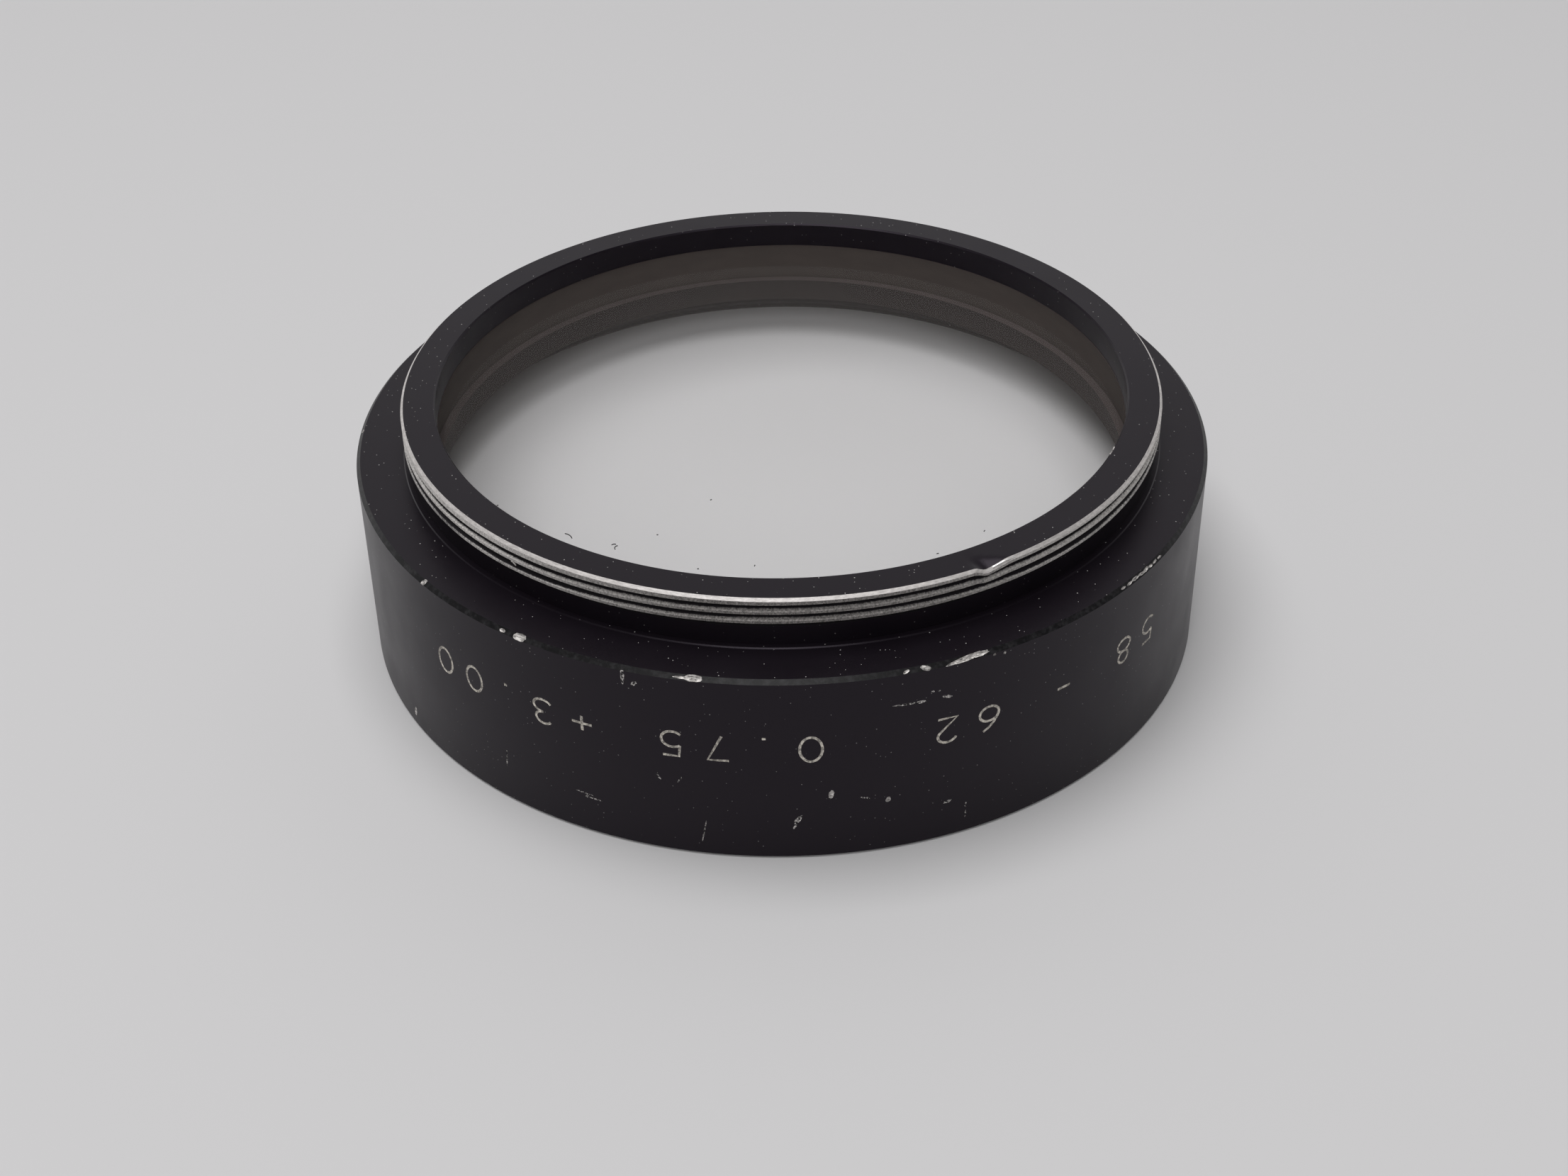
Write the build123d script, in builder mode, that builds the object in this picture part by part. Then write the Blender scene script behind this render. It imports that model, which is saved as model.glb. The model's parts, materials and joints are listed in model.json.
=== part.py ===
from build123d import *
import os
from math import isclose, sqrt

os.makedirs("parts", exist_ok=True)

# Screw-in close-up lens for a camera, in millimetres. It stands on its front rim, as it is put down on a table:
# the origin is the centre of the front face, and Z is the optical axis, pointing to the camera side.

# Accessory threads: the rear one screws into a camera lens, the front one takes a filter or a hood of the next
# size up
rear_thread_diameter = 58.0
front_thread_step_up = 4.0
thread_pitch = 0.75
outside_depth_per_pitch = 0.6134
inside_depth_per_pitch = 0.5413

# Barrel and flange
flange_height = 15.6
front_wall = 1.75
flange_edge_chamfer = 0.3
front_edge_break = 0.2

# Threaded collar behind the flange
collar_height = 4.0
collar_wall = 2.14
thread_length = 2.3
thread_lead_chamfer = 0.2
land_step = 0.3
land_fillet = 0.35

# Front recess with the inside thread
recess_depth = 3.7
recess_lead_chamfer = 0.4

# Glass, convex on both faces, with a ground seat round each
seat_lip = 0.45
seat_lip_height = 2.0
glass_clearance = 0.05
glass_edge_thickness = 10.25
glass_rear_radius = 340.0
glass_front_radius = 340.0
glass_front_seat_width = 0.7

# Retaining ring, screwed in from the front
ring_thread_step = 1.15
ring_thread_clearance = 0.05
ring_bore_clearance = 0.1
ring_height = 2.8
ring_run_in = 0.6
spanner_slot_count = 2
spanner_slot_width = 1.5
spanner_slot_depth = 1.0

# Heights above the front face
overall_height = flange_height + collar_height
thread_start = overall_height - thread_length
glass_rear = overall_height - seat_lip_height
glass_edge = glass_rear - glass_edge_thickness
ring_front = glass_edge - ring_height
pocket_end = glass_edge + ring_run_in

# Radii from the optical axis
crest_radius = rear_thread_diameter / 2
root_radius = crest_radius - outside_depth_per_pitch * thread_pitch
land_radius = crest_radius - land_step
front_thread_radius = (rear_thread_diameter + front_thread_step_up) / 2
recess_radius = front_thread_radius - inside_depth_per_pitch * thread_pitch
barrel_radius = front_thread_radius + front_wall
aperture_radius = root_radius - collar_wall
glass_bore_radius = aperture_radius + seat_lip
glass_radius = glass_bore_radius - glass_clearance
glass_rear_seat_radius = glass_radius - seat_lip
glass_front_seat_radius = glass_radius - glass_front_seat_width
pocket_radius = glass_bore_radius + ring_thread_step
ring_radius = pocket_radius - ring_thread_clearance
ring_bore_radius = glass_front_seat_radius + ring_bore_clearance

# The polished faces are spherical caps, and their depths follow from their radii
rear_cap_depth = glass_rear_radius - sqrt(glass_rear_radius**2 - glass_rear_seat_radius**2)
front_cap_depth = glass_front_radius - sqrt(glass_front_radius**2 - glass_front_seat_radius**2)
glass_rear_vertex = glass_rear + rear_cap_depth
glass_front_vertex = glass_edge - front_cap_depth

SAME_PLACE = 1e-4


def turned_edges(piece, radius, height):
    """The circular edges of a turned piece at one radius and one height."""

    def lies_there(edge):
        same_radius = isclose(edge.radius, radius, abs_tol=SAME_PLACE)
        return same_radius and isclose(edge.arc_center.Z, height, abs_tol=SAME_PLACE)

    return piece.edges().filter_by(GeomType.CIRCLE).filter_by(lies_there)


# Rim: one turning, with the barrel, the flange, the threaded collar and every seat inside it
with BuildPart() as rim:
    with BuildSketch(Plane.XZ):
        with BuildLine():
            Polyline(
                (recess_radius, 0),
                (barrel_radius, 0),
                (barrel_radius, flange_height),
                (land_radius, flange_height),
                (land_radius, thread_start),
                (crest_radius, thread_start),
                (crest_radius, overall_height),
                (aperture_radius, overall_height),
                (aperture_radius, glass_rear),
                (glass_bore_radius, glass_rear),
                (glass_bore_radius, pocket_end),
                (pocket_radius, pocket_end),
                (pocket_radius, recess_depth),
                (recess_radius, recess_depth),
                close=True,
            )
        make_face()
    revolve(axis=Axis.Z)
    fillet(turned_edges(rim, land_radius, flange_height), radius=land_fillet)
    chamfer(turned_edges(rim, barrel_radius, flange_height), length=flange_edge_chamfer)
    chamfer(turned_edges(rim, barrel_radius, 0), length=front_edge_break)
    chamfer(turned_edges(rim, crest_radius, overall_height), length=thread_lead_chamfer)
    chamfer(turned_edges(rim, recess_radius, 0), length=recess_lead_chamfer)
rim.part.label = "rim"
export_step(rim.part, "parts/rim.step")

# Glass: its rear seat lies under the lip of the collar, and its front seat faces the retaining ring
with BuildPart() as glass:
    with BuildSketch(Plane.XZ):
        with BuildLine():
            Polyline(
                (glass_rear_seat_radius, glass_rear),
                (glass_radius, glass_rear),
                (glass_radius, glass_edge),
                (glass_front_seat_radius, glass_edge),
            )
            RadiusArc((glass_front_seat_radius, glass_edge), (0, glass_front_vertex), glass_front_radius)
            Line((0, glass_front_vertex), (0, glass_rear_vertex))
            RadiusArc((0, glass_rear_vertex), (glass_rear_seat_radius, glass_rear), glass_rear_radius)
        make_face()
    revolve(axis=Axis.Z)
glass.part.label = "lens_glass"
export_step(glass.part, "parts/lens_glass.step")

# Retaining ring: bears on the ground seat, and has slots across its front face for a pin spanner
with BuildPart() as ring:
    with BuildSketch(Plane.XY.offset(ring_front)):
        Circle(ring_radius)
        Circle(ring_bore_radius, mode=Mode.SUBTRACT)
    extrude(amount=ring_height)
    with BuildSketch(Plane.XY.offset(ring_front)):
        with PolarLocations(ring_radius, spanner_slot_count):
            Rectangle(ring_radius, spanner_slot_width)
    extrude(amount=spanner_slot_depth, mode=Mode.SUBTRACT)
ring.part.label = "retaining_ring"
export_step(ring.part, "parts/retaining_ring.step")
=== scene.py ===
import json
import math
import random

import bpy
from mathutils import Matrix, Vector


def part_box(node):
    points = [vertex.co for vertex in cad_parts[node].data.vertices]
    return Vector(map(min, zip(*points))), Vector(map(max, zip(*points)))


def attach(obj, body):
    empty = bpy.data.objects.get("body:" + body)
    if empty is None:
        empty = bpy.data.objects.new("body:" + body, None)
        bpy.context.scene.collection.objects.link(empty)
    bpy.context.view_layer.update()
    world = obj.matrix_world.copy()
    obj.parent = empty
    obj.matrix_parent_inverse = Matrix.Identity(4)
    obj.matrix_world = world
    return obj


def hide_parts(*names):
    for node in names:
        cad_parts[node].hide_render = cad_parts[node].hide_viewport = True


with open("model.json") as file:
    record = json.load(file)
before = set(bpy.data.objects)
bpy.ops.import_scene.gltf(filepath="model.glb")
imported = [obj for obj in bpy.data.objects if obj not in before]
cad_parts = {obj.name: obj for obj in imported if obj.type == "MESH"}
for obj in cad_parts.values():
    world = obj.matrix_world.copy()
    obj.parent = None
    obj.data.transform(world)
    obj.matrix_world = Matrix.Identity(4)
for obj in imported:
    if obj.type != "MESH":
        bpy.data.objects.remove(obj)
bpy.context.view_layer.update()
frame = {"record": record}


# Rim, turned blank: one deep ring of aluminium, turned on a lathe from both ends and anodised black.
# A flange stands round the threaded collar at the rear. The glass drops in from the front against a lip.
# All sizes below are in millimetres.
MM = 0.001
SEGMENTS = 720
WALL_ROWS = 15
REAR_FACE_STEPS = (0.2, 0.4, 0.7, 1.0, 1.4)
MERGE_WITHIN = 0.0005
mounts = {mount["name"]: mount for mount in frame["record"]["mounts"]}
barrel_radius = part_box("rim")[1].x / MM
overall_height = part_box("rim")[1].z / MM
flange_height = mounts["flange_face"]["pos_m"][2] / MM
crest_radius = mounts["rear_thread"]["dims"]["r_mm"]
recess_radius = mounts["front_thread"]["dims"]["r_mm"]
glass_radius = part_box("lens_glass")[1].x / MM
lip_height = 2.0
glass_rear = overall_height - lip_height
ring_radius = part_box("retaining_ring")[1].x / MM
ring_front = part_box("retaining_ring")[0].z / MM
ring_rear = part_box("retaining_ring")[1].z / MM
thread_length = 2.3
land_step = 0.3
land_radius = crest_radius - land_step
lip_over_glass = 0.4
aperture_radius = glass_radius - lip_over_glass
fitting_play = 0.05
glass_bore_radius = glass_radius + fitting_play
pocket_radius = ring_radius + fitting_play
ring_run_in = 0.6
pocket_end = ring_rear + ring_run_in
recess_depth = 3.7
recess_lead = 0.4
flange_edge_chamfer = 0.3
front_edge_break = 0.2
thread_lead = 0.2
aperture_edge_break = 0.12
thread_start = overall_height - thread_length


def arc(centre, radius, start, end, steps):
    """Points of a circular arc about a centre, from one angle to another, in degrees."""
    angles = [math.radians(start + (end - start) * step / steps) for step in range(steps + 1)]
    return [(centre[0] + radius * math.cos(a), centre[1] + radius * math.sin(a)) for a in angles]


def turn(name, corners, segments, closed):
    """Turns an outline of (radius, height) corners about the Z axis, one extruded loop for each corner."""
    bpy.ops.object.select_all(action="DESELECT")
    first_radius, first_height = corners[0]
    place = (0, 0, first_height * MM)
    bpy.ops.mesh.primitive_circle_add(vertices=segments, radius=first_radius * MM, location=place)
    piece = bpy.context.object
    piece.name = name
    bpy.ops.object.transform_apply(location=True, rotation=True, scale=True)
    bpy.ops.object.mode_set(mode="EDIT")
    bpy.ops.mesh.select_all(action="SELECT")
    if not closed:
        bpy.ops.mesh.edge_face_add()
    path = corners + corners[:1] if closed else corners
    for (radius, height), (next_radius, next_height) in zip(path, path[1:]):
        rise = (0, 0, (next_height - height) * MM)
        bpy.ops.mesh.extrude_edges_move(TRANSFORM_OT_translate={"value": rise})
        grow = next_radius / radius
        bpy.ops.transform.resize(value=(grow, grow, 1), center_override=(0, 0, 0))
    if not closed:
        bpy.ops.mesh.edge_face_add()
    bpy.ops.mesh.select_all(action="SELECT")
    bpy.ops.mesh.remove_doubles(threshold=MERGE_WITHIN * MM)
    bpy.ops.mesh.normals_make_consistent(inside=False)
    bpy.ops.object.mode_set(mode="OBJECT")
    return piece


shoulder_height = 0.08
shoulder_radius = crest_radius + shoulder_height
land_foot = [
    (shoulder_radius + shoulder_height, flange_height),
    (shoulder_radius, flange_height + shoulder_height),
    (land_radius, flange_height + shoulder_height),
]
rim = turn(
    "rim",
    [
        (recess_radius, recess_lead),
        (recess_radius + recess_lead, 0),
        (barrel_radius - front_edge_break, 0),
        (barrel_radius, front_edge_break),
        *[(barrel_radius, row) for row in range(1, WALL_ROWS)],
        (barrel_radius, flange_height - flange_edge_chamfer),
        (barrel_radius - flange_edge_chamfer, flange_height),
        *land_foot,
        (land_radius, thread_start),
        (crest_radius, thread_start),
        (crest_radius, overall_height - thread_lead),
        (crest_radius - thread_lead, overall_height),
        *[(crest_radius - thread_lead - step, overall_height) for step in REAR_FACE_STEPS],
        (aperture_radius + aperture_edge_break, overall_height),
        (aperture_radius, overall_height - aperture_edge_break),
        (aperture_radius, glass_rear),
        (glass_bore_radius, glass_rear),
        (glass_bore_radius, pocket_end),
        (pocket_radius, pocket_end),
        (pocket_radius, recess_depth),
        (recess_radius, recess_depth),
    ],
    SEGMENTS,
    closed=True,
)


def linear(hex_colour):
    """An sRGB hex colour as linear red, green and blue, with full alpha."""
    shares = [int(hex_colour[place:place + 2], 16) / 255 for place in (1, 3, 5)]
    return tuple(s / 12.92 if s <= 0.04045 else ((s + 0.055) / 1.055) ** 2.4 for s in shares) + (1.0,)


def add_node(tree, kind, settings, inputs):
    """Adds one shader node with its settings; an input is a constant or another node's socket."""
    made = tree.nodes.new("ShaderNode" + kind)
    for name, value in settings.items():
        setattr(made, name, value)
    for socket, value in inputs.items():
        if isinstance(value, bpy.types.NodeSocket):
            tree.links.new(value, made.inputs[socket])
        else:
            made.inputs[socket].default_value = value
    return made


def new_material(name):
    """A new material, with its node tree and its Principled shader."""
    material = bpy.data.materials.new(name)
    material.use_nodes = True
    return material, material.node_tree, material.node_tree.nodes["Principled BSDF"]


def per_mm(size):
    """The texture scale at which one feature or cell is that many millimetres."""
    return 1 / (size * MM)


# Black anodised aluminium: a dyed oxide skin on fine turned metal. It is nearly black straight on and has a
# soft sheen at a slant. Pale specks of dust lie on it, most on the faces that look up.
anodised_black = "#130f14"


def make_black_anodised():
    material, tree, shader = new_material("black_anodised_aluminium")
    place = add_node(tree, "TexCoord", {}, {}).outputs["Object"]
    mottle = add_node(tree, "TexNoise", {}, {"Vector": place, "Scale": per_mm(5), "Detail": 4.0})
    rough = add_node(
        tree, "MapRange", {}, {"Value": mottle.outputs["Fac"], "From Min": 0.3, "From Max": 0.7,
                               "To Min": 0.3, "To Max": 0.38})
    grit = add_node(tree, "TexNoise", {}, {"Vector": place, "Scale": per_mm(0.15), "Detail": 2.0})
    bump = add_node(
        tree, "Bump", {}, {"Height": grit.outputs["Fac"], "Strength": 0.25, "Distance": 0.004 * MM})
    speck = add_node(tree, "TexVoronoi", {}, {"Vector": place, "Scale": per_mm(0.34)})
    chance = add_node(tree, "SeparateColor", {}, {"Color": speck.outputs["Color"]})
    reach = add_node(
        tree, "MapRange", {}, {"Value": chance.outputs["Red"], "From Min": 0.5, "From Max": 1.0,
                               "To Min": 0.0, "To Max": 0.13})
    dot = add_node(
        tree, "Math", {"operation": "LESS_THAN"}, {0: speck.outputs["Distance"],
                                                   1: reach.outputs["Result"]})
    facing = add_node(
        tree, "SeparateXYZ", {}, {"Vector": add_node(tree, "NewGeometry", {}, {}).outputs["Normal"]})
    settled = add_node(
        tree, "MapRange", {}, {"Value": facing.outputs["Z"], "From Min": 0.3, "From Max": 0.8,
                               "To Min": 0.25, "To Max": 0.65})
    dust = add_node(
        tree, "Math", {"operation": "MULTIPLY"}, {0: dot.outputs[0], 1: settled.outputs["Result"]})
    colour = add_node(
        tree, "Mix", {"data_type": "RGBA"}, {"Factor": dust.outputs[0], 6: linear(anodised_black),
                                             7: linear("#d2d0ce")})
    tree.links.new(colour.outputs[2], shader.inputs["Base Color"])
    tree.links.new(rough.outputs["Result"], shader.inputs["Roughness"])
    tree.links.new(bump.outputs["Normal"], shader.inputs["Normal"])
    shader.inputs["Specular IOR Level"].default_value = 0.22
    shader.inputs["Specular Tint"].default_value = linear("#faedff")
    return material


# Rubbed edge: anodising that handling has thinned to grey in patches along the flange's outer edge.
def make_rubbed_edge():
    material, tree, shader = new_material("black_anodising_rubbed_at_the_edge")
    place = add_node(tree, "TexCoord", {}, {}).outputs["Object"]
    patch = add_node(
        tree, "TexNoise", {}, {"Vector": place, "Scale": per_mm(0.4), "Detail": 5.0, "Roughness": 0.6})
    rub = add_node(
        tree, "MapRange", {}, {"Value": patch.outputs["Fac"], "From Min": 0.45, "From Max": 0.75})
    colour = add_node(
        tree, "Mix", {"data_type": "RGBA"}, {"Factor": rub.outputs["Result"], 6: linear("#0c0b0d"),
                                             7: linear("#2b2a2c")})
    tree.links.new(colour.outputs[2], shader.inputs["Base Color"])
    shader.inputs["Roughness"].default_value = 0.42
    shader.inputs["Specular IOR Level"].default_value = 0.25
    return material


# Worn thread: the crests have lost their black and show dull, scuffed aluminium; the grooves have kept it.
# Less of each crest is bare at the sides, least of all on the last turn. The bare metal carries painted
# light: it is coloured lighter at the sides and back, and darker at the front as painted shade.
worn_from, worn_bare = crest_radius - 0.27, crest_radius - 0.19
# Painted shade on the front crests fades into painted light at the sides between these places; the span
# also sets how much of each crest is bare.
front_of_collar, sides_of_collar = -28.5, -21
upper_turns_above, last_turn_below = 18.2, 17.95


def make_worn_thread_with_painted_light():
    material, tree, shader = new_material("anodised_thread_worn_to_aluminium_with_painted_light")
    place = add_node(tree, "TexCoord", {}, {}).outputs["Object"]
    flat = add_node(tree, "VectorMath", {"operation": "MULTIPLY"}, {0: place, 1: (1, 1, 0)})
    radius = add_node(tree, "VectorMath", {"operation": "LENGTH"}, {0: flat.outputs["Vector"]})
    scuff = add_node(
        tree, "TexNoise", {}, {"Vector": place, "Scale": per_mm(0.14), "Detail": 3.0, "Roughness": 0.7})
    stretch = add_node(tree, "TexNoise", {}, {"Vector": place, "Scale": per_mm(9), "Detail": 2.0})
    ragged = add_node(
        tree, "MapRange", {}, {"Value": scuff.outputs["Fac"], "To Min": -0.07 * MM, "To Max": 0.07 * MM})
    deeper = add_node(
        tree, "MapRange", {}, {"Value": stretch.outputs["Fac"], "From Min": 0.3, "From Max": 0.7,
                               "To Min": -0.06 * MM, "To Max": 0.03 * MM})
    uneven = add_node(
        tree, "Math", {"operation": "ADD"}, {0: ragged.outputs["Result"], 1: deeper.outputs["Result"]})
    axes = add_node(tree, "SeparateXYZ", {}, {"Vector": place})
    # Front to side: this mask carries the painted shade and painted light on the bare crests, and also how
    # far each crest is bare.
    side = add_node(
        tree, "MapRange", {}, {"Value": axes.outputs["Y"], "From Min": front_of_collar * MM,
                               "From Max": sides_of_collar * MM})
    last_turn = add_node(
        tree, "MapRange", {}, {"Value": axes.outputs["Z"], "From Min": upper_turns_above * MM,
                               "From Max": last_turn_below * MM, "To Min": -0.05 * MM,
                               "To Max": -0.18 * MM})
    reach = add_node(
        tree, "Math", {"operation": "MULTIPLY_ADD"}, {0: side.outputs["Result"], 1: last_turn.outputs[0],
                                                      2: uneven.outputs[0]})
    worn_at = add_node(
        tree, "Math", {"operation": "ADD"}, {0: radius.outputs["Value"], 1: reach.outputs[0]})
    bare = add_node(
        tree, "MapRange", {}, {"Value": worn_at.outputs[0], "From Min": worn_from * MM,
                               "From Max": worn_bare * MM})
    tone = add_node(
        tree, "MapRange", {}, {"Value": scuff.outputs["Fac"], "From Min": 0.32, "From Max": 0.68})
    # Painted shade and painted light: a darker aluminium colour for the front crests and a lighter one for
    # the sides and back.
    front_crest_painted_shade = add_node(
        tree, "Mix", {"data_type": "RGBA"}, {"Factor": tone.outputs["Result"], 6: linear("#676463"),
                                             7: linear("#b8b4b1")})
    side_crest_painted_light = add_node(
        tree, "Mix", {"data_type": "RGBA"}, {"Factor": tone.outputs["Result"], 6: linear("#b4b0ae"),
                                             7: linear("#f2efec")})
    # Painted light: the front's painted-shade colour blends into the painted-light colour of the sides.
    crest_metal_with_painted_light = add_node(
        tree, "Mix", {"data_type": "RGBA"}, {"Factor": side.outputs["Result"], 6: front_crest_painted_shade.outputs[2],
                                             7: side_crest_painted_light.outputs[2]})
    grain = add_node(tree, "TexVoronoi", {}, {"Vector": place, "Scale": per_mm(0.22)})
    left_black = add_node(
        tree, "Math", {"operation": "LESS_THAN"}, {0: grain.outputs["Distance"], 1: 0.13})
    shown = add_node(
        tree, "Math", {"operation": "SUBTRACT", "use_clamp": True}, {0: bare.outputs["Result"],
                                                                     1: left_black.outputs[0]})
    colour = add_node(
        tree, "Mix", {"data_type": "RGBA"}, {"Factor": shown.outputs[0], 6: linear(anodised_black),
                                             7: crest_metal_with_painted_light.outputs[2]})
    tree.links.new(colour.outputs[2], shader.inputs["Base Color"])
    tree.links.new(shown.outputs[0], shader.inputs["Metallic"])
    shader.inputs["Roughness"].default_value = 0.7
    shader.inputs["Specular IOR Level"].default_value = 0.25
    return material


# Bare aluminium: the oxide is knocked or rubbed off and the fresh metal shows, scored along the rim.
def make_bare_aluminium(name, dark, light, roughness):
    material, tree, shader = new_material(name)
    place = add_node(tree, "TexCoord", {}, {}).outputs["Object"]
    along = add_node(tree, "VectorMath", {"operation": "MULTIPLY"}, {0: place, 1: (1, 1, 4)})
    score = add_node(
        tree, "TexNoise", {}, {"Vector": along.outputs["Vector"], "Scale": per_mm(0.4), "Detail": 5.0,
                               "Roughness": 0.7})
    tone = add_node(
        tree, "MapRange", {}, {"Value": score.outputs["Fac"], "From Min": 0.35, "From Max": 0.65})
    colour = add_node(
        tree, "Mix", {"data_type": "RGBA"}, {"Factor": tone.outputs["Result"], 6: linear(dark),
                                             7: linear(light)})
    bump = add_node(
        tree, "Bump", {}, {"Height": score.outputs["Fac"], "Strength": 0.5, "Distance": 0.02 * MM})
    tree.links.new(colour.outputs[2], shader.inputs["Base Color"])
    tree.links.new(bump.outputs["Normal"], shader.inputs["Normal"])
    shader.inputs["Metallic"].default_value = 1.0
    shader.inputs["Roughness"].default_value = roughness
    return material


black_anodised = make_black_anodised()
rubbed_edge = make_rubbed_edge()
worn_thread_with_painted_light = make_worn_thread_with_painted_light()
bare_lead = make_bare_aluminium("bare_aluminium_rubbed_bright", "#c6c2c0", "#e6e2e0", 0.66)
bare_chip = make_bare_aluminium("bare_aluminium_knocked", "#5f5c5a", "#f4f0ed", 0.66)


def paint_faces(piece, material, belongs):
    """Gives a material to the faces whose centre, as radius and height in mm, belongs to it."""
    piece.data.materials.append(material)
    slot = len(piece.data.materials) - 1
    for face in piece.data.polygons:
        if belongs(math.hypot(face.center.x, face.center.y) / MM, face.center.z / MM):
            face.material_index = slot


def is_flange_edge(radius, height):
    return radius > barrel_radius - flange_edge_chamfer and flange_height - flange_edge_chamfer < height


def is_thread(radius, height):
    return radius > land_radius and thread_start <= height < overall_height - thread_lead


def is_thread_lead(radius, height):
    return radius > crest_radius - thread_lead and overall_height - thread_lead < height < overall_height


paint_faces(rim, black_anodised, lambda radius, height: True)
paint_faces(rim, rubbed_edge, is_flange_edge)
paint_faces(rim, worn_thread_with_painted_light, is_thread)
paint_faces(rim, bare_lead, is_thread_lead)


# Rim, threads: a right-hand V thread cut round the collar, and its mate cut inside the front rim.
# Each runs out where the tool was drawn off, so a groove rises to nothing at its ends.
pitch = 0.75
groove_steps_per_turn = 180
run_out_angle = 40
drawn_off = 0.5
past_crest = 0.08
root_half_width = 0.03


def cut(piece, cutter):
    """Cuts a closed cutter out of a piece; the cut faces take the cutter's material."""
    bpy.ops.object.select_all(action="DESELECT")
    bpy.context.view_layer.objects.active = piece
    piece.select_set(True)
    knife = piece.modifiers.new("cut", "BOOLEAN")
    knife.operation = "DIFFERENCE"
    knife.solver = "EXACT"
    knife.material_mode = "TRANSFER"
    knife.object = cutter
    bpy.ops.object.modifier_apply(modifier=knife.name)
    bpy.data.objects.remove(cutter)


def thread_cutter(section, start_angle, start_height, turned, outward):
    """A helical cutter: a V section of (radius, height) corners, screwed up by the thread's pitch.

    At both ends the tool is drawn off the metal, outward (1) or inward (-1).
    """
    bpy.ops.object.select_all(action="DESELECT")
    bpy.ops.mesh.primitive_circle_add(vertices=len(section), radius=MM, fill_type="NOTHING")
    cutter = bpy.context.object
    aim = math.radians(start_angle)
    for vertex, (radius, height) in zip(cutter.data.vertices, section):
        vertex.co = (radius * MM * math.cos(aim), radius * MM * math.sin(aim), (start_height + height) * MM)
    screw = cutter.modifiers.new("helix", "SCREW")
    screw.axis = "Z"
    screw.angle = math.radians(turned)
    screw.screw_offset = pitch * turned / 360 * MM
    steps = round(groove_steps_per_turn * turned / 360)
    screw.steps = steps
    screw.render_steps = steps
    bpy.ops.object.modifier_apply(modifier=screw.name)
    rows = len(cutter.data.vertices) // len(section)
    for number, vertex in enumerate(cutter.data.vertices):
        from_end = min(number // len(section), rows - 1 - number // len(section)) * turned / (rows - 1)
        lift = max(0, 1 - from_end / run_out_angle) * drawn_off * outward
        reach = math.hypot(vertex.co.x, vertex.co.y)
        vertex.co.x *= 1 + lift * MM / reach
        vertex.co.y *= 1 + lift * MM / reach
    bpy.ops.object.mode_set(mode="EDIT")
    bpy.ops.mesh.select_mode(type="EDGE")
    bpy.ops.mesh.select_all(action="DESELECT")
    bpy.ops.mesh.select_non_manifold()
    bpy.ops.mesh.fill_holes(sides=0)
    bpy.ops.mesh.select_all(action="SELECT")
    bpy.ops.mesh.normals_make_consistent(inside=False)
    bpy.ops.object.mode_set(mode="OBJECT")
    cutter.data.materials.append(worn_thread_with_painted_light)
    return cutter


outside_depth = 0.42
outside_half_width = 0.32
outside_root = crest_radius - outside_depth
outside_top = crest_radius + past_crest
outside_section = [
    (outside_root, -root_half_width),
    (outside_top, -outside_half_width),
    (outside_top, outside_half_width),
    (outside_root, root_half_width),
]
first_groove_height = 18.84
first_groove_angle = 270
outside_start = -550
outside_turned = 1000
outside_start_height = first_groove_height + pitch * (outside_start - first_groove_angle) / 360
cut(rim, thread_cutter(outside_section, outside_start, outside_start_height, outside_turned, 1))

inside_depth = 0.4
inside_half_width = 0.3
inside_root = recess_radius + inside_depth
inside_top = recess_radius - past_crest
inside_section = [
    (inside_root, root_half_width),
    (inside_top, inside_half_width),
    (inside_top, -inside_half_width),
    (inside_root, -root_half_width),
]
inside_start = 0
inside_start_height = 0.35
inside_turned = 1500
inside_cutter = thread_cutter(inside_section, inside_start, inside_start_height, inside_turned, -1)
inside_cutter.data.materials[0] = black_anodised
cut(rim, inside_cutter)


# Rim, engraving: plain numbers for the thread sizes and the strength, cut into the barrel with a round
# tool and filled with pale paint that has worn. They are upside down while the lens stands on its front.
character_height = 2.1
character_width = 2.6
character_advance = 5.58
baseline_height = 10.8
stroke_tool_radius = 0.12
stroke_tool_lift = 0.05
stroke_tool_centre = barrel_radius + stroke_tool_lift
ROUND_STEPS = 14
WIRE_MERGE_WITHIN = 0.001


def oval(x, y, wide, tall):
    """The two halves of an oval stroke, which overlap a little at their ends."""
    halves = [arc((0, 0), 1, start, start + 190, ROUND_STEPS) for start in (85, 265)]
    return [[(x + wide * u, y + tall * v) for u, v in half] for half in halves]


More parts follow.
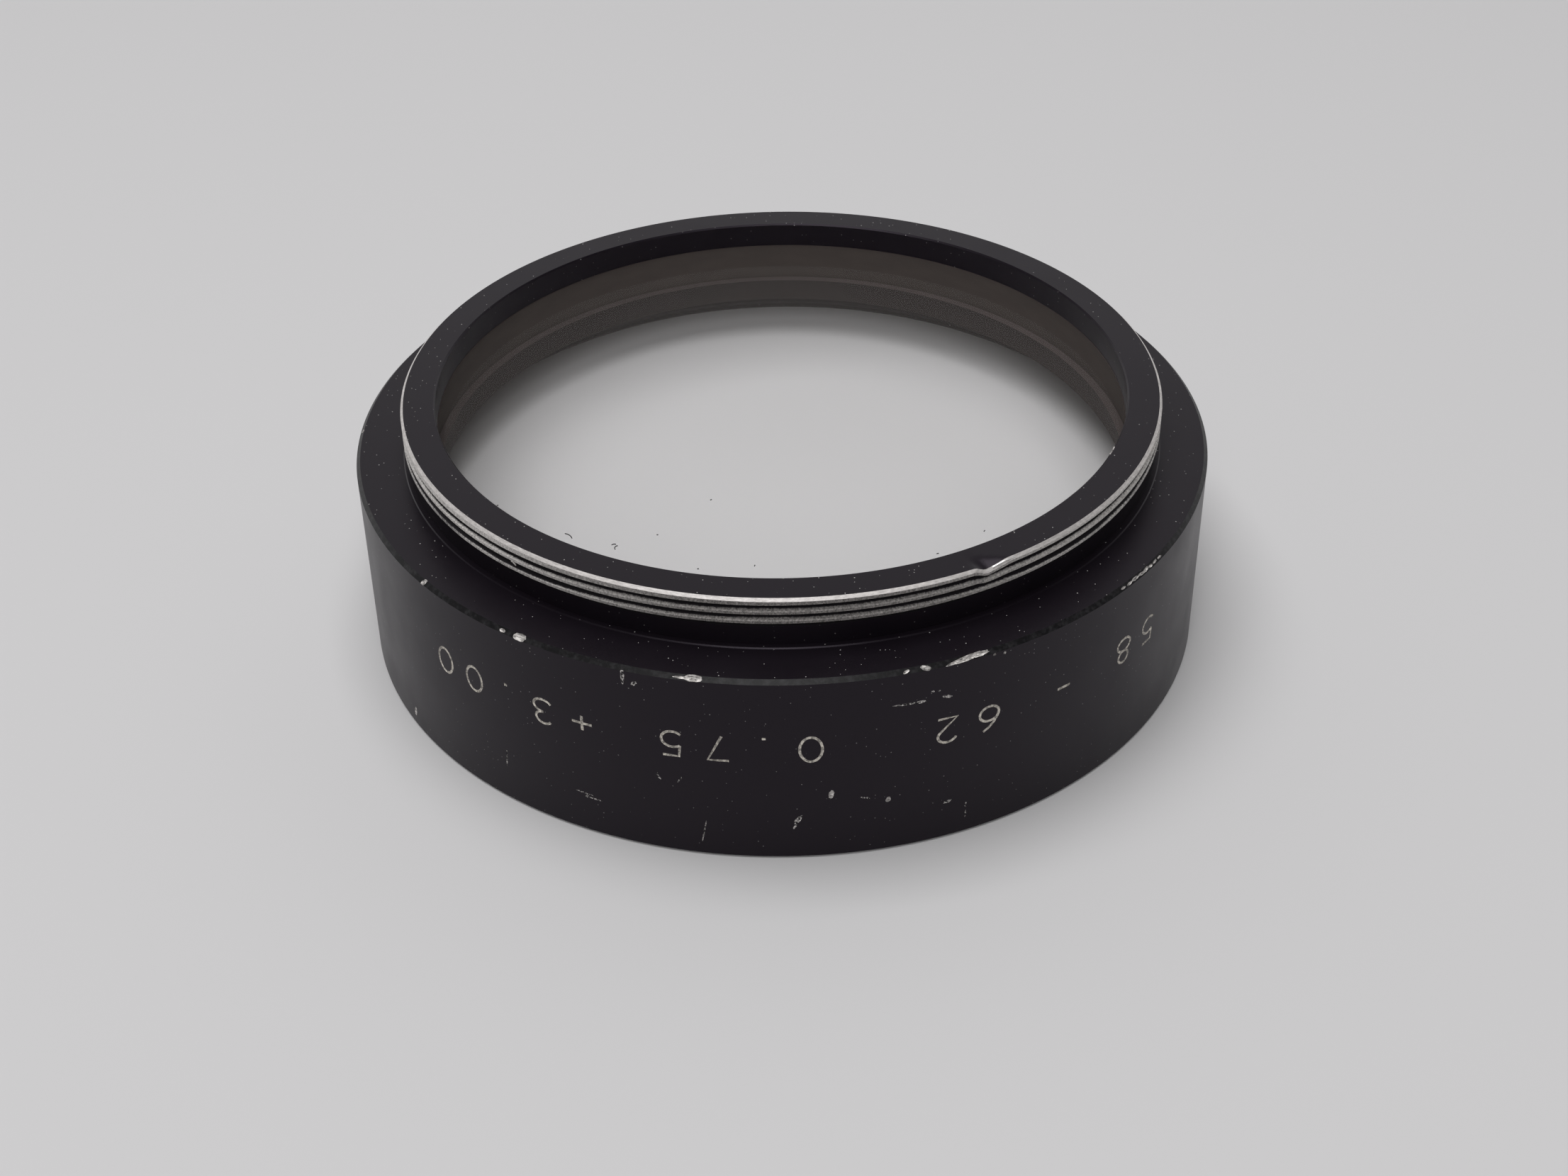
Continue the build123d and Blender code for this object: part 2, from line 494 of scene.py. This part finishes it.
strokes = {
    "0": oval(0.3, 0.5, 0.3, 0.5),
    "2": [[(0.3 + 0.27 * u, 0.73 + 0.27 * v) for u, v in arc((0, 0), 1, 160, -35, ROUND_STEPS)]
          + [(0.02, 0.0), (0.58, 0.0)]],
    "3": [[(0.28 + 0.25 * u, 0.76 + 0.24 * v) for u, v in arc((0, 0), 1, 150, -90, ROUND_STEPS)],
          [(0.28 + 0.3 * u, 0.26 + 0.26 * v) for u, v in arc((0, 0), 1, 90, -150, ROUND_STEPS)]],
    "5": [[(0.54, 1.0), (0.1, 1.0), (0.07, 0.56)],
          [(0.27 + 0.3 * u, 0.32 + 0.32 * v) for u, v in arc((0, 0), 1, 132, -140, ROUND_STEPS)]],
    "6": oval(0.3, 0.3, 0.29, 0.3) + [[(0.47, 1.0), (0.3, 0.87), (0.15, 0.68), (0.05, 0.48), (0.02, 0.3)]],
    "7": [[(0.0, 1.0), (0.56, 1.0), (0.18, 0.0)]],
    "8": oval(0.3, 0.76, 0.22, 0.24) + oval(0.3, 0.26, 0.29, 0.26),
    "+": [[(0.0, 0.45), (0.6, 0.45)], [(0.3, 0.15), (0.3, 0.75)]],
    "-": [[(0.08, 0.45), (0.52, 0.45)]],
    ".": [[(0.25, 0.03), (0.35, 0.03)]],
    " ": [],
}
engraving = [("58 - 62  0.75", 324.5), ("+3.00", 246.0)]


# Engraving paint: dry enamel left in the cut, pale and warm, with dark grains where it has fallen out.
def make_engraving_paint():
    material, tree, shader = new_material("worn_engraving_enamel")
    place = add_node(tree, "TexCoord", {}, {}).outputs["Object"]
    grain = add_node(
        tree, "TexNoise", {}, {"Vector": place, "Scale": per_mm(0.22), "Detail": 5.0, "Roughness": 0.7})
    worn = add_node(
        tree, "MapRange", {}, {"Value": grain.outputs["Fac"], "From Min": 0.4, "From Max": 0.6})
    colour = add_node(
        tree, "Mix", {"data_type": "RGBA"}, {"Factor": worn.outputs["Result"], 6: linear("#7d7974"),
                                             7: linear("#dcd6cc")})
    tree.links.new(colour.outputs[2], shader.inputs["Base Color"])
    shader.inputs["Roughness"].default_value = 0.75
    return material


engraving_paint = make_engraving_paint()


def on_barrel(angle, height, radius):
    """A point in metres, at an angle round the barrel in degrees and a height and a radius in mm."""
    turned = math.radians(angle)
    return Vector((radius * math.cos(turned), radius * math.sin(turned), height)) * MM


def wires(name, paths, radius, material):
    """Round wires along paths of points in metres, closed at their ends, as one mesh."""
    data = bpy.data.curves.new(name, "CURVE")
    data.dimensions = "3D"
    data.bevel_depth = radius * MM
    data.bevel_resolution = 2
    data.use_fill_caps = True
    for path in paths:
        spline = data.splines.new("POLY")
        spline.points.add(len(path) - 1)
        for point, spot in zip(spline.points, path):
            point.co = (*spot, 1)
    bundle = bpy.data.objects.new(name, data)
    bpy.context.collection.objects.link(bundle)
    bpy.ops.object.select_all(action="DESELECT")
    bpy.context.view_layer.objects.active = bundle
    bundle.select_set(True)
    bpy.ops.object.convert(target="MESH")
    bpy.ops.object.mode_set(mode="EDIT")
    bpy.ops.mesh.select_all(action="SELECT")
    bpy.ops.mesh.remove_doubles(threshold=WIRE_MERGE_WITHIN * MM)
    bpy.ops.mesh.normals_make_consistent(inside=False)
    bpy.ops.object.mode_set(mode="OBJECT")
    bundle = bpy.context.object
    bundle.data.materials.clear()
    bundle.data.materials.append(material)
    return bundle


def engraving_cutter(text, start_angle, pass_number):
    """The path of the round tool through one stroke of each character of a text."""
    degrees_per_mm = 360 / (2 * math.pi * barrel_radius)
    paths = []
    for place, character in enumerate(text):
        first_angle = start_angle - place * character_advance
        for stroke in strokes[character][pass_number:pass_number + 1]:
            paths.append([
                on_barrel(first_angle - across * character_width * degrees_per_mm,
                          baseline_height - up * character_height, stroke_tool_centre)
                for across, up in stroke
            ])
    return wires("engraving", paths, stroke_tool_radius, engraving_paint)


for text, start_angle in engraving:
    most_strokes = max(len(strokes[character]) for character in text)
    for pass_number in range(most_strokes):
        cut(rim, engraving_cutter(text, start_angle, pass_number))


# Rim, knocks: chips on the flange's edge and dings on the barrel, down to bare metal, and light scratches.
# Each is an angle round the rim, a height, a length, a width, a lean from level and the slope of the face.
WALL, EDGE = 0, 45
chip_depth_share = 0.16
pebble_thickness_share = 3
pebble_unevenness = 0.09
knocks = [
    (180.0, 15.5, 0.6, 0.4, 20, EDGE),
    (218.9, 15.45, 0.75, 0.38, 60, EDGE),
    (233.7, 15.4, 0.4, 0.2, 0, EDGE),
    (236.4, 15.45, 1.1, 0.7, 10, EDGE),
    (236.9, 15.58, 0.5, 0.35, 50, EDGE),
    (250.5, 14.9, 1.5, 0.28, 88, WALL),
    (251.9, 14.4, 0.5, 0.3, 40, WALL),
    (259.1, 15.45, 1.3, 0.55, 0, EDGE),
    (257.7, 15.42, 0.9, 0.15, 0, EDGE),
    (284.3, 15.4, 0.4, 0.16, 20, EDGE),
    (286.7, 15.4, 0.55, 0.26, -20, EDGE),
    (290.9, 15.4, 1.7, 0.2, 10, EDGE),
    (292.0, 15.44, 2.5, 0.36, 9, EDGE),
    (293.0, 15.56, 2.5, 0.36, 7, EDGE),
    (293.8, 15.5, 1.6, 0.42, 5, EDGE),
    (295.6, 15.2, 0.35, 0.22, 60, EDGE),
    (297.0, 15.1, 0.4, 0.2, 80, EDGE),
    (316.6, 15.42, 0.4, 0.12, 0, EDGE),
    (317.9, 15.4, 0.5, 0.14, 6, EDGE),
    (319.2, 15.45, 0.9, 0.22, 0, EDGE),
    (320.5, 15.42, 0.6, 0.16, -5, EDGE),
    (321.6, 15.45, 0.7, 0.24, 8, EDGE),
    (322.7, 15.4, 0.4, 0.15, 0, EDGE),
    (323.8, 15.45, 0.6, 0.18, 4, EDGE),
    (325.0, 15.42, 0.4, 0.12, 0, EDGE),
    (284.4, 12.75, 2.2, 0.18, -2, WALL),
    (286.0, 12.72, 0.9, 0.24, 3, WALL),
    (289.5, 12.7, 0.7, 0.28, -14, WALL),
    (287.6, 13.4, 0.25, 0.16, 0, WALL),
    (288.4, 13.35, 0.2, 0.14, 0, WALL),
    (275.3, 5.65, 0.75, 0.4, 80, WALL),
    (282.3, 4.6, 0.5, 0.36, 80, WALL),
    (271.3, 3.5, 1.0, 0.34, 55, WALL),
    (270.9, 2.9, 0.5, 0.16, 60, WALL),
    (279.2, 5.1, 0.35, 0.12, -20, WALL),
    (279.8, 5.0, 0.3, 0.16, -40, WALL),
    (290.1, 3.3, 0.8, 0.22, 8, WALL),
    (292.5, 2.6, 0.5, 0.12, 80, WALL),
    (292.5, 1.7, 0.6, 0.12, 85, WALL),
    (232.4, 3.9, 1.6, 0.13, 84, WALL),
    (211.9, 1.4, 0.9, 0.35, 75, WALL),
    (244.3, 3.5, 1.6, 0.12, -4, WALL),
    (245.6, 3.2, 1.5, 0.12, -3, WALL),
    (244.6, 3.25, 0.3, 0.22, 0, WALL),
    (259.8, 2.2, 2.2, 0.11, 80, WALL),
    (254.4, 6.6, 0.6, 0.14, -60, WALL),
    (257.0, 6.6, 0.6, 0.12, 60, WALL),
]
bare_from_width = 0.35
jitter = random.Random(12)


# Scuffed anodising: a light scratch that took the black skin off in grains only, so metal glints in places.
def make_scuffed_anodising():
    material, tree, shader = new_material("black_anodising_scuffed_to_aluminium")
    place = add_node(tree, "TexCoord", {}, {}).outputs["Object"]
    grain = add_node(
        tree, "TexNoise", {}, {"Vector": place, "Scale": per_mm(0.17), "Detail": 3.0, "Roughness": 0.7})
    broken = add_node(
        tree, "MapRange", {}, {"Value": grain.outputs["Fac"], "From Min": 0.46, "From Max": 0.62})
    colour = add_node(
        tree, "Mix", {"data_type": "RGBA"}, {"Factor": broken.outputs["Result"], 6: linear(anodised_black),
                                             7: linear("#dedad7")})
    tree.links.new(colour.outputs[2], shader.inputs["Base Color"])
    tree.links.new(broken.outputs["Result"], shader.inputs["Metallic"])
    shader.inputs["Roughness"].default_value = 0.6
    shader.inputs["Specular IOR Level"].default_value = 0.25
    return material


scuffed = make_scuffed_anodising()


def knock_cutter(angle, height, length, width, lean, slope):
    """A flattened, uneven pebble that dips into the surface by a share of the knock's width."""
    bpy.ops.object.select_all(action="DESELECT")
    bpy.ops.mesh.primitive_ico_sphere_add(subdivisions=3, radius=1)
    pebble = bpy.context.object
    sag = length * length / (8 * barrel_radius)
    depth = chip_depth_share * width + sag
    thick = pebble_thickness_share * depth
    spread = 1 / math.sqrt(1 - (1 - depth / thick) ** 2)
    for vertex in pebble.data.vertices:
        vertex.co *= 1 + jitter.uniform(-pebble_unevenness, pebble_unevenness)
    lie = Matrix.Rotation(math.radians(lean), 4, "Z")
    size = Matrix.Diagonal((length / 2 * spread, width / 2 * spread, thick, 1))
    lift = Matrix.Translation((0, 0, thick - depth))
    tilt = Matrix.Rotation(math.radians(90 - slope), 4, "X")
    aim = Matrix.Rotation(math.radians(angle + 90), 4, "Z")
    surface = barrel_radius - (flange_edge_chamfer / 2 if slope == EDGE else 0)
    spot = Matrix.Translation(on_barrel(angle, height, surface))
    pebble.data.transform(spot @ Matrix.Scale(MM, 4) @ aim @ tilt @ lift @ lie @ size)
    pebble.data.materials.append(bare_chip if slope == EDGE or width >= bare_from_width else scuffed)
    return pebble


def join(piece, others):
    """Joins other objects into a piece."""
    bpy.ops.object.select_all(action="DESELECT")
    for other in others:
        other.select_set(True)
    piece.select_set(True)
    bpy.context.view_layer.objects.active = piece
    bpy.ops.object.join()


knock_passes = 4
for first in range(knock_passes):
    pebbles = [knock_cutter(*knock) for knock in knocks[first::knock_passes]]
    join(pebbles[0], pebbles[1:])
    cut(rim, pebbles[0])


# Rim, dent: the collar has been knocked on its outer edge, which pressed its rear face down along a line.
# The metal under the flat is squashed, so the first groove is pinched there.
dent_line = -24.5
dent_left, dent_left_run, dent_skew = 12.1, 1.3, 0.6
dent_slope = 24
dent_floor = 17.9
dent_fall = math.tan(math.radians(dent_slope))
for vertex in rim.data.vertices:
    x, y, z = vertex.co / MM
    ahead = max(dent_line - y, 0)
    run = min(max((x - dent_left - dent_skew * ahead) / dent_left_run, 0), 1)
    drop = dent_fall * ahead * run * run * (3 - 2 * run)
    if z > dent_floor:
        vertex.co.z -= drop * (z - dent_floor) / (overall_height - dent_floor) * MM


# Rim, burrs: metal pushed up beside the dent, a nick on the collar's inner edge, and a curl in the thread.
# Each is a material, a radius, and a path of angles round the rim, heights and distances from the axis.
bare_burr = make_bare_aluminium("bare_aluminium_burr", "#e8e5e3", "#fbf9f7", 0.3)
burrs = [
    (bare_burr, 0.08, [(299.4, 19.29, 28.88), (300.1, 19.37, 28.89), (300.8, 19.44, 28.89),
                       (301.5, 19.49, 28.89), (302.3, 19.51, 28.89), (303.1, 19.5, 28.87)]),
    (bare_chip, 0.07, [(334.3, 19.52, 26.45), (335.5, 19.52, 26.47), (336.7, 19.52, 26.45)]),
    (bare_chip, 0.05, [(229.4, 18.22, 28.97), (229.9, 18.16, 28.98), (230.2, 18.0, 28.95)]),
]
for material, radius, spots in burrs:
    path = [on_barrel(*spot) for spot in spots]
    join(rim, [wires("burr", [path], radius, material)])


TURNED_EDGE_ANGLE = 28
POLISHED_EDGE_ANGLE = 20


def shade(piece, angle):
    """Shades a piece smooth, with crisp edges past an angle and wherever two materials meet."""
    bpy.ops.object.select_all(action="DESELECT")
    piece.select_set(True)
    bpy.context.view_layer.objects.active = piece
    bpy.ops.object.shade_smooth_by_angle(angle=math.radians(angle))
    bpy.ops.object.mode_set(mode="EDIT")
    for slot in range(len(piece.material_slots)):
        bpy.ops.mesh.select_mode(type="FACE")
        bpy.ops.mesh.select_all(action="DESELECT")
        piece.active_material_index = slot
        bpy.ops.object.material_slot_select()
        bpy.ops.mesh.region_to_loop()
        bpy.ops.mesh.mark_sharp()
    bpy.ops.object.mode_set(mode="OBJECT")


shade(rim, TURNED_EDGE_ANGLE)
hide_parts("rim")
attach(rim, "root")


# Lens glass: one thick disc of crown glass, convex on both faces, polished and coated.
# Its edge is blackened with lacquer against stray light, and a narrow seat is ground round each face.
glass_edge = ring_rear
rear_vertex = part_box("lens_glass")[1].z / MM
front_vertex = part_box("lens_glass")[0].z / MM
rear_seat_width, front_seat_width = 0.45, 0.7
rear_seat_radius = glass_radius - rear_seat_width
front_seat_radius = glass_radius - front_seat_width
lacquer_radius = glass_radius - 0.1
CAP_RINGS = 40
GLASS_SEGMENTS = 256
assembly_gap = 0.01
pole_angle = 0.05


def cap(seat_radius, seat_height, vertex_height):
    """A polished face as an arc in the outline, from near its pole to its seat."""
    depth = vertex_height - seat_height
    curve = (seat_radius**2 + depth**2) / (2 * depth)
    half_angle = math.degrees(math.asin(seat_radius / abs(curve)))
    pole = 90 if curve > 0 else -90
    turn_way = -1 if curve > 0 else 1
    return arc((0, vertex_height - curve), abs(curve), pole + turn_way * pole_angle,
               pole + turn_way * half_angle, CAP_RINGS)


rear_cap = cap(rear_seat_radius, glass_rear - assembly_gap, rear_vertex - assembly_gap)
front_cap = cap(front_seat_radius, glass_edge, front_vertex)
lens_glass = turn(
    "lens_glass",
    [
        *rear_cap,
        (glass_radius, glass_rear - assembly_gap),
        (glass_radius, glass_edge),
        *reversed(front_cap),
    ],
    GLASS_SEGMENTS,
    closed=False,
)


# Coated crown glass: clear, with a coating that reflects about a hundredth, and a thin warm film of dust.
# Light on its way to the table goes straight through, as it nearly does in so weak a lens.
coating_reflection = 0.012
dust_cover = 0.02


def make_coated_glass():
    material, tree, shader = new_material("coated_crown_glass")
    tree.nodes.remove(shader)
    bent = add_node(tree, "BsdfRefraction", {}, {"Color": (1, 1, 1, 1), "Roughness": 0.0, "IOR": 1.52})
    mirrored = add_node(tree, "BsdfAnisotropic", {}, {"Color": (1, 1, 1, 1), "Roughness": 0.02})
    coated = add_node(
        tree, "MixShader", {}, {0: coating_reflection, 1: bent.outputs[0], 2: mirrored.outputs[0]})
    film = add_node(tree, "BsdfDiffuse", {}, {"Color": linear("#d8cfca")})
    dusty = add_node(tree, "MixShader", {}, {0: dust_cover, 1: coated.outputs[0], 2: film.outputs[0]})
    straight = add_node(tree, "BsdfTransparent", {}, {})
    path = add_node(tree, "LightPath", {}, {})
    bounced = add_node(
        tree, "MixShader", {}, {0: path.outputs["Is Diffuse Ray"], 1: dusty.outputs[0],
                                2: straight.outputs[0]})
    lit = add_node(
        tree, "MixShader", {}, {0: path.outputs["Is Shadow Ray"], 1: bounced.outputs[0],
                                2: straight.outputs[0]})
    tree.links.new(lit.outputs[0], tree.nodes["Material Output"].inputs["Surface"])
    return material


# Dull skins: brown-black lacquer and ground seats on the glass, and the etched, dyed skin of the ring.
def make_dull_skin(name, dark, light):
    material, tree, shader = new_material(name)
    place = add_node(tree, "TexCoord", {}, {}).outputs["Object"]
    cloud = add_node(tree, "TexNoise", {}, {"Vector": place, "Scale": per_mm(3), "Detail": 5.0})
    colour = add_node(
        tree, "Mix", {"data_type": "RGBA"}, {"Factor": cloud.outputs["Fac"], 6: linear(dark),
                                             7: linear(light)})
    tree.links.new(colour.outputs[2], shader.inputs["Base Color"])
    shader.inputs["Roughness"].default_value = 0.85
    shader.inputs["Specular IOR Level"].default_value = 0.1
    return material


coated_glass = make_coated_glass()
edge_lacquer = make_dull_skin("brown_black_edge_lacquer", "#3d3633", "#48403c")
ground_seat = make_dull_skin("ground_glass_seat", "#413a39", "#4c4443")
paint_faces(lens_glass, coated_glass, lambda radius, height: True)
paint_faces(lens_glass, edge_lacquer, lambda radius, height: radius > lacquer_radius)
paint_faces(lens_glass, ground_seat, lambda radius, height: front_seat_radius < radius < lacquer_radius)
shade(lens_glass, POLISHED_EDGE_ANGLE)


# Lint on the glass: a few short fibres and specks that have settled on its rear face.
# Each is a place across the glass, a length, a heading and how far the fibre bows.
LINT_RADIUS = 0.035
FIBRE_STEPS = (-0.5, -0.25, 0, 0.25, 0.5)
lint = [
    (-15.17, -18.39, 0.8, -48, 0.1),
    (-11.7, -20.0, 0.45, 70, 0.12),
    (-11.9, -19.66, 0.3, 10, 0.05),
    (10.73, -21.28, 0.16, 20, 0.0),
    (18.36, -17.07, 0.2, 40, 0.0),
    (16.65, -18.52, 0.14, 0, 0.0),
    (14.2, -18.6, 0.14, 60, 0.0),
    (-8.86, -18.72, 0.12, 0, 0.0),
    (-5.15, -14.74, 0.12, 30, 0.0),
    (-5.92, -22.73, 0.12, 0, 0.0),
    (-6.86, -23.42, 0.2, 0, 0.0),
    (-2.0, -22.53, 0.12, 80, 0.0),
    (-18.64, -16.81, 0.16, 0, 0.0),
    (-20.58, -14.21, 0.12, 50, 0.0),
]
grey_lint, _, lint_shader = new_material("grey_lint")
lint_shader.inputs["Base Color"].default_value = linear("#1f1d1c")
lint_shader.inputs["Roughness"].default_value = 0.9
lint_paths = []
for x, y, length, heading, bow in lint:
    aim = math.radians(heading)
    fibre = []
    for along in FIBRE_STEPS:
        aside = bow * (1 - 4 * along * along)
        px = x + along * length * math.cos(aim) - aside * math.sin(aim)
        py = y + along * length * math.sin(aim) + aside * math.cos(aim)
        sag = (rear_vertex - glass_rear) * (px * px + py * py) / rear_seat_radius**2
        fibre.append(Vector((px, py, rear_vertex - sag + LINT_RADIUS / 2)) * MM)
    lint_paths.append(fibre)
join(lens_glass, [wires("lint", lint_paths, LINT_RADIUS, grey_lint)])
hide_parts("lens_glass")
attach(lens_glass, "root")


# Retaining ring: a thin aluminium ring, anodised black and left matt, screwed in from the front.
# Two slots across its front face take a pin spanner.
ring_bore_play = 0.1
ring_bore = front_seat_radius + ring_bore_play
ring_edge_break = 0.1
retaining_ring = turn(
    "retaining_ring",
    [
        (ring_bore + ring_edge_break, ring_front),
        (ring_radius - ring_edge_break, ring_front),
        (ring_radius, ring_front + ring_edge_break),
        (ring_radius, ring_rear - assembly_gap),
        (ring_bore, ring_rear - assembly_gap),
        (ring_bore, ring_front + ring_edge_break),
    ],
    GLASS_SEGMENTS,
    closed=True,
)
matt_anodised = make_dull_skin("black_anodised_aluminium_matt", "#1a1515", "#221b1b")
paint_faces(retaining_ring, matt_anodised, lambda radius, height: True)
slot_length, slot_width, slot_depth = 4, 1.5, 1.0
for side in (-1, 1):
    bpy.ops.object.select_all(action="DESELECT")
    bpy.ops.mesh.primitive_cube_add(size=1)
    spanner_slot = bpy.context.object
    spanner_slot.scale = Vector((slot_length, slot_width, 2 * slot_depth)) * MM
    spanner_slot.location = Vector((side * ring_radius, 0, ring_front)) * MM
    bpy.ops.object.transform_apply(location=True, rotation=True, scale=True)
    spanner_slot.data.materials.append(matt_anodised)
    cut(retaining_ring, spanner_slot)
shade(retaining_ring, TURNED_EDGE_ANGLE)
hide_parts("retaining_ring")
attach(retaining_ring, "root")


# Studio: a pale matt table under one soft light overhead, with a smaller share from one high in front.
# The surround is pale behind and low down at both sides. The camera stands where the photograph's did.
floor_size = 6.0
bpy.ops.object.select_all(action="DESELECT")
bpy.ops.mesh.primitive_plane_add(size=floor_size, location=(0, 0, 0))
floor = bpy.context.object
floor.name = "floor"
table_paint, _, table_shader = new_material("pale_matt_table")
table_shader.inputs["Base Color"].default_value = linear("#cbcacb")
table_shader.inputs["Roughness"].default_value = 0.9
table_shader.inputs["Specular IOR Level"].default_value = 0.1
floor.data.materials.append(table_paint)

world = bpy.data.worlds.new("studio")
bpy.context.scene.world = world
world.use_nodes = True
sky = world.node_tree
surround = sky.nodes["Background"]
surround.inputs["Color"].default_value = (1, 1, 1, 1)
look = add_node(sky, "TexCoord", {}, {})
way = add_node(sky, "SeparateXYZ", {}, {"Vector": look.outputs["Generated"]})
leftward = add_node(
    sky, "MapRange", {}, {"Value": way.outputs["X"], "From Min": 0.0, "From Max": -1.0, "To Max": 1.5})
rightward = add_node(sky, "MapRange", {}, {"Value": way.outputs["X"], "To Max": 0.95})
sides = add_node(sky, "Math", {"operation": "ADD"}, {0: leftward.outputs[0], 1: rightward.outputs[0]})
low = add_node(
    sky, "MapRange", {}, {"Value": way.outputs["Z"], "From Max": 0.35, "To Min": 1.0, "To Max": 0.0})
glow = add_node(sky, "Math", {"operation": "MULTIPLY"}, {0: sides.outputs[0], 1: low.outputs[0]})
backward = add_node(sky, "MapRange", {}, {"Value": way.outputs["Y"], "To Max": 0.66})
level = add_node(sky, "Math", {"operation": "ADD"}, {0: glow.outputs[0], 1: backward.outputs[0]})
sky.links.new(level.outputs[0], surround.inputs["Strength"])

softboxes = [
    ("overhead_softbox", (-0.1, -0.025, 0.8), 0.6, 4.9),
    ("front_softbox", (-0.05, -0.91, 0.91), 0.6, 4.9),
]
for name, place, size, power in softboxes:
    lamp = bpy.data.lights.new(name, "AREA")
    lamp.size = size
    lamp.energy = power
    lamp_object = bpy.data.objects.new(name, lamp)
    bpy.context.collection.objects.link(lamp_object)
    lamp_object.location = place
    lamp_object.rotation_euler = (-Vector(place)).to_track_quat("-Z", "Y").to_euler()

camera_data = bpy.data.cameras.new("camera")
camera_data.sensor_width = 36
camera_data.lens = 52.47
camera_data.clip_start = 0.005
camera = bpy.data.objects.new("camera", camera_data)
bpy.context.collection.objects.link(camera)
camera_place = (0, -152.19, 108.27)
camera_tilt, camera_roll = 35.452, -0.865
lean_down = Matrix.Rotation(math.radians(90 - camera_tilt), 3, "X")
roll = Matrix.Rotation(math.radians(camera_roll), 3, "Z")
camera.location = Vector(camera_place) * MM
camera.rotation_euler = (lean_down @ roll).to_euler()
bpy.context.scene.camera = camera

bpy.context.scene.view_settings.view_transform = "Standard"
